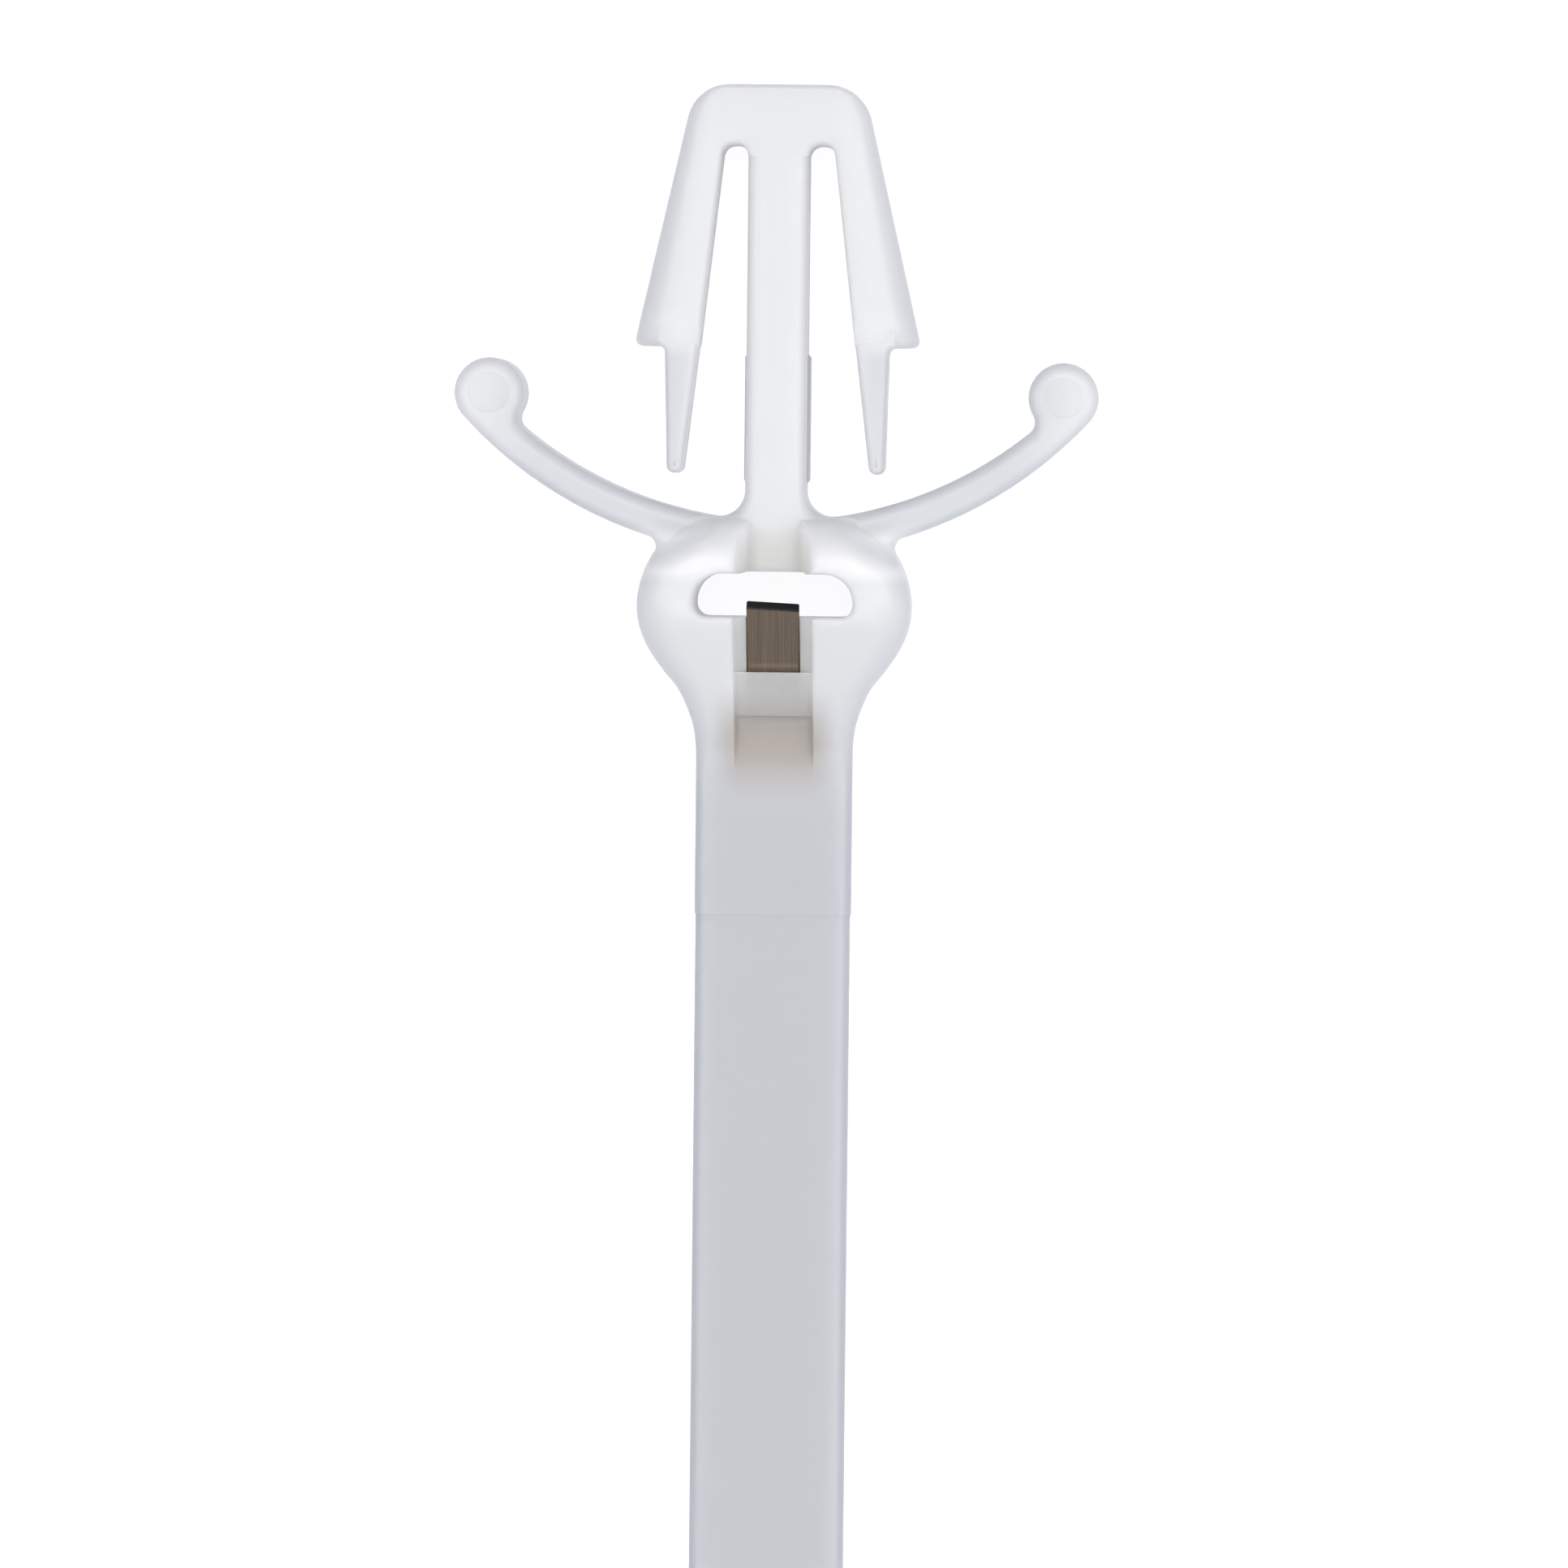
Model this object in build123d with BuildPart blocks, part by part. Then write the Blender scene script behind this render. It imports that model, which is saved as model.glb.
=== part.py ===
from build123d import *
from math import acos, asin, atan2, cos, degrees, hypot, pi, radians, sin, sqrt, tan
import os

# Wing push mount cable tie: one nylon moulding, with a steel locking barb set in its head.
# The tie lies flat on its back: X across the strap, +Y towards the arrowhead, +Z to the front.
# The origin is the centre of the strap slot, on the back plane. All sizes are in millimetres.
os.makedirs("parts", exist_ok=True)

# Strap: a plain ribbon with rounded long edges, a hair smaller beyond the mould's insert line
strap_w = 4.8
strap_t = 1.2
strap_front_r = 0.45
strap_back_r = 0.3
strap_reach = 190.5
insert_line = 9.8
insert_step = 0.03

# Tail: the strap narrows and thins to a rounded tip, with cross grooves that give a grip
tail_len = 27.0
tail_tip_w = 2.6
tail_tip_t = 0.9
grip_count = 11
grip_pitch = 1.7
grip_groove_r = 0.5
grip_groove_depth = 0.25
grip_end_gap = 4.0
grip_w = 1.5

# Head: a boss with two round lobes, whose front slopes down to the strap
head_h = 4.5
head_lobe_r = 3.11
head_lobe_x = 1.06
head_lobe_y = -0.42
neck_r = 2.2
crown_r = 1.3
ramp_run = 6.05
ramp_foot_r = 2.0
ramp_crest_r = 2.0
crest_y = 0.3
crest_flat = 0.5
head_sink = 0.25
shoulder_sink = 0.02
head_run_in = 0.8
station_count = 14

# Slot that the strap's tail is threaded through, and the valley as wide as the stem that leads out of it
slot_clear_w = 0.05
slot_clear_t = 0.13
slot_far_r = 0.75
slot_near_r = 0.3
slot_lead = 0.15
relief_depth = 0.06
valley_r = 1.6
valley_run = 1.2

# Barb: a flat steel strip, whose tip leans into the slot and out towards the front
barb_w = 1.6
barb_t = 0.4
barb_angle = 36.0
barb_exposed = 2.39
barb_buried = 2.5
barb_intrusion = 0.25
barb_shear = 3.5
barb_edge = 0.04
barb_seat_clear = 0.02

# Pocket round the barb, the lip that covers the barb's root, and the recess below the lip
pocket_side_gap = 0.4
pocket_floor_angle = 10.0
lip_drop = 0.35
lip_cover = 0.25
lip_len = 1.35
lip_step = 0.15
recess_end_gap = 0.25
recess_end_rise = 0.03

# Wings and stem, which share one flat slab
slab_t = 3.0
slab_edge_r = 0.2
slab_back_edge = 0.15
wing_top_y = 2.27
wing_root_t = 1.12
wing_up_r = 12.2
wing_low_r = 12.95
wing_angle = 47.4
tip_r = 1.1
tip_fillet_r = 0.4
notch_r = 0.35
notch_bite = 0.03
notch_depth = 0.95
pin_mark_r = 0.62
pin_mark_depth = 0.03
stem_w = 1.84
stem_len = 13.26
stem_root_r = 0.8
stem_sink = 0.5
side_rib_gap = 1.16
side_rib_len = 3.925
side_rib_proud = 0.155
side_rib_t = 1.3

# Arrowhead: a rounded wedge with two legs that spring in, and a thin blade below each leg
nose_half = 2.56
nose_corner_r = 1.3
nose_edge_r = 0.75
nose_top_r = 0.2
leg_len = 8.05
leg_slope = 0.23
leg_edge_r = 1.35
ledge_corner_r = 0.2
nose_web = 1.87
gap_top_w = 0.68
gap_slope = 0.113
gap_edge_r = 0.2
blade_w = 1.092
blade_t = 1.8
blade_len = 3.78
blade_run_up = 1.57
blade_proud = 0.04
blade_outer_slope = 0.023

# Plan of the head
strap_half = strap_w / 2
stem_half = stem_w / 2
slot_half_w = strap_half + slot_clear_w / 2
slot_half_t = (strap_t + slot_clear_t) / 2
neck_cx = strap_half + neck_r
neck_cy = head_lobe_y - sqrt((head_lobe_r + neck_r) ** 2 - (neck_cx - head_lobe_x) ** 2)
neck_tangent_y = head_lobe_y + (neck_cy - head_lobe_y) * head_lobe_r / (head_lobe_r + neck_r)
head_end_y = wing_top_y - head_sink

# Side view of the head: foot arc, ramp, crest arc, flat, and the fall to the wings
ramp_start_y = crest_y - ramp_run
head_start_y = ramp_start_y - head_run_in
foot_cz = strap_t + ramp_foot_r
crest_cz = head_h - ramp_crest_r
ramp_angle = (atan2(crest_cz - foot_cz, ramp_run)
              + asin((ramp_foot_r + ramp_crest_r) / hypot(ramp_run, crest_cz - foot_cz)))
ramp_low_y = ramp_start_y + ramp_foot_r * sin(ramp_angle)
ramp_low_z = foot_cz - ramp_foot_r * cos(ramp_angle)
ramp_high_y = crest_y - ramp_crest_r * sin(ramp_angle)
crest_end_y = crest_y + crest_flat
fall = head_h - slab_t + shoulder_sink


def half_width(y):
    """Half the width of the head at y: the strap's edge, the neck's hollow arc, the lobe's arc."""
    if y <= neck_cy:
        return strap_half
    if y <= neck_tangent_y:
        return neck_cx - sqrt(neck_r ** 2 - (y - neck_cy) ** 2)
    return head_lobe_x + sqrt(head_lobe_r ** 2 - (y - head_lobe_y) ** 2)


def crest(y):
    """Height of the head's ridge at y."""
    if y <= ramp_start_y:
        return strap_t
    if y <= ramp_low_y:
        return foot_cz - sqrt(ramp_foot_r ** 2 - (y - ramp_start_y) ** 2)
    if y <= ramp_high_y:
        return ramp_low_z + tan(ramp_angle) * (y - ramp_low_y)
    if y <= crest_y:
        return crest_cz + sqrt(ramp_crest_r ** 2 - (y - crest_y) ** 2)
    if y <= crest_end_y:
        return head_h
    share = (y - crest_end_y) / (head_end_y - crest_end_y)
    return head_h - fall * (1 - cos(pi * share)) / 2


def crown(y):
    """Radius of the front edges at y, which grows with the height of the head."""
    share = (crest(y) - strap_t) / (head_h - strap_t)
    return strap_front_r + (crown_r - strap_front_r) * share


# Arrowhead's heights along the tie, and the lean of its legs
nose_y = wing_top_y + stem_len
ledge_y = nose_y - leg_len
gap_top_y = nose_y - nose_web
gap_top_r = 0.485 * gap_top_w
blade_top_y = ledge_y + blade_run_up
blade_end_y = ledge_y - blade_len
leg_angle = atan2(leg_slope, 1)


def leg_half(y):
    """Half the width of the arrowhead at y."""
    return nose_half + leg_slope * (nose_y - y)


def gap_outer(y):
    """The leg's inner edge at y."""
    return stem_half + gap_top_w + gap_slope * (gap_top_y - y)


# Arrowhead: a wedge lofted from the ledge to the nose, then its nose corners, gaps and blades
nose_corner_x = nose_half + nose_corner_r * leg_slope - nose_corner_r / cos(leg_angle)
nose_corner_y = nose_y - nose_corner_r
corner_low_y = nose_corner_y + nose_corner_r * sin(leg_angle)
leg_edge_limit = 0.48 * slab_t

with BuildPart() as arrowhead:
    for y, edge_r in ((ledge_y, leg_edge_r), (nose_y, nose_edge_r)):
        with BuildSketch(Plane.XZ.offset(-y)) as arrow_section:
            with Locations((0, slab_t / 2)):
                RectangleRounded(2 * leg_half(y), slab_t, min(edge_r, leg_edge_limit))
    loft(ruled=True)

    with BuildSketch() as nose_corners:
        with BuildLine() as corner_line:
            corner = CenterArc((nose_corner_x, nose_corner_y), nose_corner_r,
                               degrees(leg_angle), 90 - degrees(leg_angle))
            Polyline(corner @ 1, (nose_corner_x, nose_y + 1), (nose_half + 1, nose_y + 1),
                     (leg_half(corner_low_y) + 1, corner_low_y + leg_slope), corner @ 0)
        make_face()
        mirror(about=Plane.YZ)
    extrude(amount=slab_t, mode=Mode.SUBTRACT)
    nose_edges = arrowhead.edges().filter_by(
        lambda e: e.center().Y > corner_low_y and abs(e.center().Z - slab_t / 2) > slab_t / 4)
    fillet(nose_edges, nose_top_r)
    split(bisect_by=Plane.YZ)
    mirror(about=Plane.YZ)

    gap_low_y = ledge_y - 1
    with BuildSketch() as gap_plan:
        with BuildLine() as gap_line:
            Polyline((stem_half, gap_low_y), (stem_half, gap_top_y), (gap_outer(gap_top_y), gap_top_y),
                     (gap_outer(gap_low_y), gap_low_y), close=True)
        make_face()
        fillet(gap_plan.vertices().group_by(Axis.Y)[-1], gap_top_r)
        mirror(about=Plane.YZ)
        with Locations((0, gap_low_y)):
            Rectangle(stem_w, gap_top_y - gap_top_r - gap_low_y, align=(Align.CENTER, Align.MIN))
    extrude(amount=slab_t, mode=Mode.SUBTRACT)
    inner_edges = arrowhead.edges().filter_by(
        lambda e: abs(e.center().Z - slab_t / 2) > slab_t / 2 - 0.01 and e.center().Y < gap_top_y - 0.5
        and stem_half < abs(e.center().X) < gap_outer(e.center().Y) + 0.05)
    fillet(inner_edges, gap_edge_r)
    ledge_edges = arrowhead.faces().filter_by(Axis.Y).group_by(Axis.Y)[0].edges().filter_by(
        lambda e: abs(e.center().X) > gap_outer(ledge_y) + 0.1)
    fillet(ledge_edges, ledge_corner_r)

    blade_outer = gap_outer(ledge_y) + blade_w
    blade_tip_outer = blade_outer - blade_outer_slope * blade_len
    blade_tip_inner = gap_outer(blade_end_y) - blade_proud
    with BuildSketch(Plane.XY.offset((slab_t - blade_t) / 2)) as blade_plan:
        with BuildLine() as blade_line:
            Polyline((gap_outer(blade_top_y) - blade_proud, blade_top_y),
                     (blade_tip_inner, blade_end_y), (blade_tip_outer, blade_end_y),
                     (blade_outer, ledge_y), (blade_outer, ledge_y + blade_w / 2), close=True)
        make_face()
        fillet(blade_plan.vertices().group_by(Axis.Y)[0], 0.42 * (blade_tip_outer - blade_tip_inner))
        mirror(about=Plane.YZ)
    extrude(amount=blade_t)

# Wings and stem: one flat slab, with a disc at each wing's end and a rib on each side of the stem
wing_up_cy = wing_top_y + wing_up_r
wing_low_cy = wing_top_y - wing_root_t + wing_low_r


def on_arc(center_y, r, angle):
    """The point of a circle about (0, center_y) at an angle in degrees from straight down."""
    return (r * sin(radians(angle)), center_y - r * cos(radians(angle)))


tip_x, tip_y = on_arc(wing_low_cy, wing_low_r - tip_r, wing_angle)
wing_up_angle = degrees(atan2(tip_x, wing_up_cy - tip_y))

with BuildPart() as wing_slab:
    with BuildSketch() as slab_plan:
        with BuildLine() as wing_line:
            low = ThreePointArc(on_arc(wing_low_cy, wing_low_r, -wing_angle),
                                on_arc(wing_low_cy, wing_low_r, 0),
                                on_arc(wing_low_cy, wing_low_r, wing_angle))
            up = ThreePointArc(on_arc(wing_up_cy, wing_up_r, wing_up_angle),
                               on_arc(wing_up_cy, wing_up_r, 0),
                               on_arc(wing_up_cy, wing_up_r, -wing_up_angle))
            Line(low @ 1, up @ 0)
            Line(up @ 1, low @ 0)
        make_face()
        with Locations((tip_x, tip_y), (-tip_x, tip_y)):
            Circle(tip_r)
        tip_corners = slab_plan.vertices().filter_by(
            lambda v: abs(v.X) < tip_x and abs(hypot(abs(v.X) - tip_x, v.Y - tip_y) - tip_r) < 0.01)
        fillet(tip_corners, tip_fillet_r)
        with Locations((0, wing_top_y - stem_sink)):
            Rectangle(stem_w, gap_top_y - wing_top_y + 2 * stem_sink, align=(Align.CENTER, Align.MIN))
        root_corners = slab_plan.vertices().filter_by(
            lambda v: abs(abs(v.X) - stem_half) < 0.01 and v.Y < wing_top_y + stem_sink)
        fillet(root_corners, stem_root_r)
    extrude(amount=slab_t)
    fillet(wing_slab.edges().group_by(Axis.Z)[-1], slab_edge_r)
    chamfer(wing_slab.edges().group_by(Axis.Z)[0], slab_back_edge)

    with BuildSketch(Plane.XY.offset(slab_t)) as pin_marks:
        with Locations((tip_x, tip_y), (-tip_x, tip_y)):
            Circle(pin_mark_r)
    extrude(amount=-pin_mark_depth, mode=Mode.SUBTRACT)

    rib_x = stem_half + side_rib_proud
    rib_low_y = wing_top_y + side_rib_gap
    rib_high_y = rib_low_y + side_rib_len
    with BuildSketch() as rib_plan:
        with BuildLine() as rib_line:
            Polyline((0, rib_low_y), (stem_half, rib_low_y), (rib_x, rib_low_y + side_rib_proud),
                     (rib_x, rib_high_y - side_rib_proud), (stem_half, rib_high_y), (0, rib_high_y),
                     close=True)
        make_face()
        mirror(about=Plane.YZ)
    extrude(amount=side_rib_t)

# Notches: the corner under each wing, where it leaves its lobe, is filled out to a hollow round, whose
# circle bites a little into the lobe's and into the wing's lower one
lobe_gap = head_lobe_r + notch_r - notch_bite
wing_gap = wing_low_r + notch_r - notch_bite
centers_gap = hypot(head_lobe_x, wing_low_cy - head_lobe_y)
centers_angle = atan2(wing_low_cy - head_lobe_y, -head_lobe_x)
swing = acos((lobe_gap ** 2 + centers_gap ** 2 - wing_gap ** 2) / (2 * lobe_gap * centers_gap))
notch_x = head_lobe_x + lobe_gap * cos(centers_angle - swing)
notch_y = head_lobe_y + lobe_gap * sin(centers_angle - swing)
notch_from = atan2(wing_low_cy - notch_y, -notch_x)
notch_to = centers_angle - swing + pi


def behind_notch(share):
    """The point inside the moulding, behind a share of the hollow round."""
    angle = notch_from + (notch_to - notch_from) * share
    return (notch_x + notch_depth * cos(angle), notch_y + notch_depth * sin(angle))


with BuildPart() as notches:
    with BuildSketch() as notch_plan:
        with BuildLine() as notch_line:
            hollow = CenterArc((notch_x, notch_y), notch_r, degrees(notch_from), degrees(notch_to - notch_from))
            Polyline(hollow @ 1, behind_notch(1), behind_notch(0.5), behind_notch(0), hollow @ 0)
        make_face()
    extrude(amount=slab_t)
    fillet(notches.edges().filter_by(GeomType.CIRCLE).group_by(Axis.Z)[-1], slab_edge_r)
    chamfer(notches.edges().filter_by(GeomType.CIRCLE).group_by(Axis.Z)[0], slab_back_edge)
    mirror(about=Plane.YZ)

# Strap: full size to the insert line, then a step smaller, then the taper of the tail
tail_start_y = tail_len - strap_reach
inset_half = strap_half - insert_step
inset_t = strap_t - insert_step
tip_round_r = tail_tip_w / 2

with BuildPart() as strap:
    with BuildSketch(Plane.XZ.offset(-head_start_y)) as root_section:
        Rectangle(strap_w, strap_t, align=(Align.CENTER, Align.MIN))
        fillet(root_section.vertices().group_by(Axis.Y)[-1], strap_front_r)
        fillet(root_section.vertices().group_by(Axis.Y)[0], strap_back_r)
    extrude(amount=head_start_y + insert_line)
    with BuildSketch(Plane.XZ.offset(insert_line)) as strap_section:
        Rectangle(2 * inset_half, inset_t, align=(Align.CENTER, Align.MIN))
        fillet(strap_section.vertices().group_by(Axis.Y)[-1], strap_front_r)
        fillet(strap_section.vertices().group_by(Axis.Y)[0], strap_back_r)
    extrude(amount=-insert_line - tail_start_y)
    for y, half, thick in ((tail_start_y, inset_half, inset_t),
                           (-strap_reach, tail_tip_w / 2, tail_tip_t)):
        with BuildSketch(Plane.XZ.offset(-y)) as tail_section:
            Rectangle(2 * half, thick, align=(Align.CENTER, Align.MIN))
            fillet(tail_section.vertices().group_by(Axis.Y)[-1], strap_front_r)
            fillet(tail_section.vertices().group_by(Axis.Y)[0], strap_back_r)
    loft(ruled=True)

    with BuildSketch() as tip_plan:
        with Locations((0, -strap_reach)):
            Rectangle(strap_w, 2 * tip_round_r)
        with Locations((0, tip_round_r - strap_reach)):
            Circle(tip_round_r, mode=Mode.SUBTRACT)
    extrude(amount=strap_t, mode=Mode.SUBTRACT)

    with BuildSketch(Plane.YZ) as grip_side:
        for i in range(grip_count):
            from_tip = grip_end_gap + i * grip_pitch
            front_z = tail_tip_t + (inset_t - tail_tip_t) * from_tip / tail_len
            with Locations((from_tip - strap_reach, front_z + grip_groove_r - grip_groove_depth)):
                Circle(grip_groove_r)
    extrude(amount=grip_w / 2, both=True, mode=Mode.SUBTRACT)

# Place of the barb: its top face passes under the lip at lip_y
lean = radians(barb_angle)
lip_y = barb_intrusion - slot_half_t - barb_exposed * cos(lean)
lip_top_z = crest(lip_y) - lip_drop
lip_end_y = lip_y - lip_len
lip_end_z = crest(lip_end_y) - lip_drop
barb_z = lip_top_z - lip_cover
barb_under_z = barb_z - barb_t / cos(lean)
barb_plane = Plane(origin=(0, lip_y, barb_z), x_dir=(1, 0, 0), z_dir=(0, -sin(lean), cos(lean)))

# Tie body: the head, joined to the strap, the wings and the arrowhead as one moulding
with BuildPart() as tie_body:
    station_gap = (head_end_y - ramp_start_y) / (station_count - 1)
    for y in [head_start_y] + [ramp_start_y + station_gap * i for i in range(station_count)]:
        with BuildSketch(Plane.XZ.offset(-y)) as head_section:
            Rectangle(2 * half_width(y), crest(y), align=(Align.CENTER, Align.MIN))
            fillet(head_section.vertices().group_by(Axis.Y)[-1], crown(y))
            fillet(head_section.vertices().group_by(Axis.Y)[0], strap_back_r)
    loft()
    add(strap.part)
    add(wing_slab.part)
    add(notches.part)
    add(arrowhead.part)

    # Valley: the stem's front runs on through the head and dips into the slot
    valley_y = slot_half_t + valley_run
    valley_end_y = slot_half_t / 2
    valley_mid_y = (valley_y + valley_end_y) / 2
    valley_cz = slab_t - valley_r
    with BuildSketch(Plane.YZ) as valley_side:
        with BuildLine() as valley_line:
            dip = ThreePointArc(
                (valley_end_y, valley_cz + sqrt(valley_r ** 2 - (valley_y - valley_end_y) ** 2)),
                (valley_mid_y, valley_cz + sqrt(valley_r ** 2 - (valley_y - valley_mid_y) ** 2)),
                (valley_y, slab_t))
            Polyline(dip @ 1, (wing_top_y, slab_t), (wing_top_y, head_h + 1),
                     (valley_end_y, head_h + 1), dip @ 0)
        make_face()
    extrude(amount=stem_half, both=True, mode=Mode.SUBTRACT)

    # Pocket: a floor under the barb, the lip over its root, and a recess that runs out at the strap
    floor_y = -slot_half_t / 2
    floor_z = barb_under_z + (floor_y - lip_y) * tan(radians(pocket_floor_angle))
    recess_end = (ramp_start_y + recess_end_gap, strap_t + recess_end_rise)
    recess_top = (lip_end_y, lip_end_z - lip_step)
    with BuildSketch(Plane.YZ) as pocket_side:
        with BuildLine() as pocket_line:
            Polyline((recess_end[0], head_h + 1), (floor_y, head_h + 1), (floor_y, floor_z),
                     (lip_y, barb_under_z), (lip_y, lip_top_z), (lip_end_y, lip_end_z), recess_top)
            TangentArc(recess_end, recess_top, tangent=(1, 0))
            Line(recess_end, (recess_end[0], head_h + 1))
        make_face()
    extrude(amount=barb_w / 2 + pocket_side_gap, both=True, mode=Mode.SUBTRACT)

    # Seat of the barb, which it leaves under the lip
    with BuildSketch(barb_plane.offset(barb_seat_clear)) as seat_plan:
        with Locations((0, -barb_buried - barb_seat_clear)):
            Rectangle(barb_w + 2 * barb_seat_clear, barb_buried + barb_t, align=(Align.CENTER, Align.MIN))
    extrude(amount=-(barb_t + 2 * barb_seat_clear), mode=Mode.SUBTRACT)

    # Slot, with a shallow relief in its far wall and a lead-in at the back
    with BuildSketch() as slot_plan:
        Rectangle(2 * slot_half_w, 2 * slot_half_t)
        fillet(slot_plan.vertices().group_by(Axis.Y)[-1], slot_far_r)
        fillet(slot_plan.vertices().group_by(Axis.Y)[0], slot_near_r)
        with Locations((0, relief_depth / 2)):
            Rectangle(stem_w, 2 * slot_half_t + relief_depth)
    extrude(amount=head_h + 1, mode=Mode.SUBTRACT)
    with BuildSketch() as mouth_plan:
        Rectangle(2 * (slot_half_w + slot_lead), 2 * (slot_half_t + slot_lead))
        fillet(mouth_plan.vertices().group_by(Axis.Y)[-1], slot_far_r)
        fillet(mouth_plan.vertices().group_by(Axis.Y)[0], slot_near_r)
    extrude(amount=slot_lead, taper=45, mode=Mode.SUBTRACT)
tie_body.part.label = "tie_body"

# Locking barb: a sheared strip of stainless steel, with its edges broken
shear_rise = barb_w / 2 * tan(radians(barb_shear))
with BuildPart() as locking_barb:
    with BuildSketch(barb_plane) as barb_plan:
        with BuildLine() as barb_line:
            Polyline((-barb_w / 2, -barb_buried), (barb_w / 2, -barb_buried),
                     (barb_w / 2, barb_exposed - shear_rise), (-barb_w / 2, barb_exposed + shear_rise),
                     close=True)
        make_face()
    extrude(amount=-barb_t)
    chamfer(locking_barb.edges(), barb_edge)
locking_barb.part.label = "locking_barb"

export_step(tie_body.part, "parts/tie_body.step")
export_step(locking_barb.part, "parts/locking_barb.step")
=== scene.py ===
import math

import bmesh
import bpy
import numpy as np
from mathutils import Matrix, Vector


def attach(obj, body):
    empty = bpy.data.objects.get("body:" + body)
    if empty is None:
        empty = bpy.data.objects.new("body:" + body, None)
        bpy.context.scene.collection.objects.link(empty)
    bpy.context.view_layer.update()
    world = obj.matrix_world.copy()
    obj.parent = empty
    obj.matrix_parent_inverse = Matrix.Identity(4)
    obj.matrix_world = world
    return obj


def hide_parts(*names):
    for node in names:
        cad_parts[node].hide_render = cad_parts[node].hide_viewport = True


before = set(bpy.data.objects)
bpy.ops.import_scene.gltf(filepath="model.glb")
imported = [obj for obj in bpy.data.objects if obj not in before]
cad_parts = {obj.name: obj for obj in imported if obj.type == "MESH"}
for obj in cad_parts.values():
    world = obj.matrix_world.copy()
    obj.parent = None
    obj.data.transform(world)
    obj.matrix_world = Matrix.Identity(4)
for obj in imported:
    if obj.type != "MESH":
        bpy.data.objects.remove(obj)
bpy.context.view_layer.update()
bpy.context.scene.view_settings.view_transform = "Standard"

# Strap and head. One nylon moulding: a plain ribbon with rounded long edges that swells into a head with
# two round lobes. Its tail narrows and thins to a round tip, with cross grooves for the fingers.
MM = 0.001
strap_w, strap_t = 4.8, 1.2
strap_front_r, strap_back_r, edge_share = 0.45, 0.3, 0.9
strap_reach = 190.5
insert_line, insert_step, insert_run = 9.8, 0.03, 0.01
tail_len, tail_tip_w, tail_tip_t = 27.0, 2.6, 0.9
grip_count, grip_pitch, grip_end_gap = 11, 1.7, 4.0
grip_w, grip_groove_r, grip_groove_depth = 1.5, 0.5, 0.25
head_h, head_end_y, head_end_z, head_start_y = 4.5, 2.4, 2.75, -6.55
lobe_r, lobe_x, lobe_y = 3.11, 1.06, -0.42
flank_y = [-5.3, -4.7, -4.1, -3.5, -2.9, -2.3, -1.7, -1.1, -0.42, 0.2]
flank_half = [2.4, 2.405, 2.47, 2.652, 2.932, 3.40, 3.80, 4.062, 4.17, 4.108]
crown_r = 1.3
ramp_start_y, ramp_foot_r, ramp_crest_r = -5.75, 2.0, 2.0
crest_y, crest_flat = 0.3, 0.1
slab_t, shoulder_power = 3.0, 3.2
brim_w, brim_sink, brim_from_y, brim_to_y = 1.5, 0.05, 0.8, 1.7
strap_half = strap_w / 2
foot_z, crest_z = strap_t + ramp_foot_r, head_h - ramp_crest_r
ramp_run = crest_y - ramp_start_y
ramp_angle = (math.atan2(crest_z - foot_z, ramp_run)
              + math.asin((ramp_foot_r + ramp_crest_r) / math.hypot(ramp_run, crest_z - foot_z)))
ramp_low_y = ramp_start_y + ramp_foot_r * math.sin(ramp_angle)
ramp_low_z = foot_z - ramp_foot_r * math.cos(ramp_angle)
ramp_high_y = crest_y - ramp_crest_r * math.sin(ramp_angle)
crest_end_y = crest_y + crest_flat
inset_half, inset_t = strap_half - insert_step, strap_t - insert_step


def root(value):
    """Square root that takes a value just under zero as zero."""
    return np.sqrt(np.maximum(value, 0.0))


def half_width(y):
    """Half the head's width at y: the strap's edge, a smooth swell through the flank's points, which are
    joined by cubics with slopes taken from their neighbours, and then the lobe's arc."""
    at, value = np.array(flank_y), np.array(flank_half)
    slope = np.gradient(value, at)
    k = np.clip(np.searchsorted(at, y) - 1, 0, len(at) - 2)
    gap = at[k + 1] - at[k]
    t = np.clip((y - at[k]) / gap, 0, 1)
    flank = ((2 * t ** 3 - 3 * t ** 2 + 1) * value[k] + (t ** 3 - 2 * t ** 2 + t) * gap * slope[k]
             + (3 * t ** 2 - 2 * t ** 3) * value[k + 1] + (t ** 3 - t ** 2) * gap * slope[k + 1])
    return np.where(y <= lobe_y, np.maximum(flank, strap_half),
                    lobe_x + root(lobe_r ** 2 - (y - lobe_y) ** 2))


def crest(y):
    """Height of the head's ridge at y: strap, foot arc, straight ramp, crest arc, flat, and a fall to the
    wings that grows with a power of the way to them."""
    share = np.clip((y - crest_end_y) / (head_end_y - crest_end_y), 0, 1)
    fall = (head_h - head_end_z) * share ** shoulder_power
    return np.select([y <= ramp_start_y, y <= ramp_low_y, y <= ramp_high_y, y <= crest_y],
                     [strap_t + 0 * y, foot_z - root(ramp_foot_r ** 2 - (y - ramp_start_y) ** 2),
                      ramp_low_z + math.tan(ramp_angle) * (y - ramp_low_y),
                      crest_z + root(ramp_crest_r ** 2 - (y - crest_y) ** 2)],
                     head_h - fall)


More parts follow.
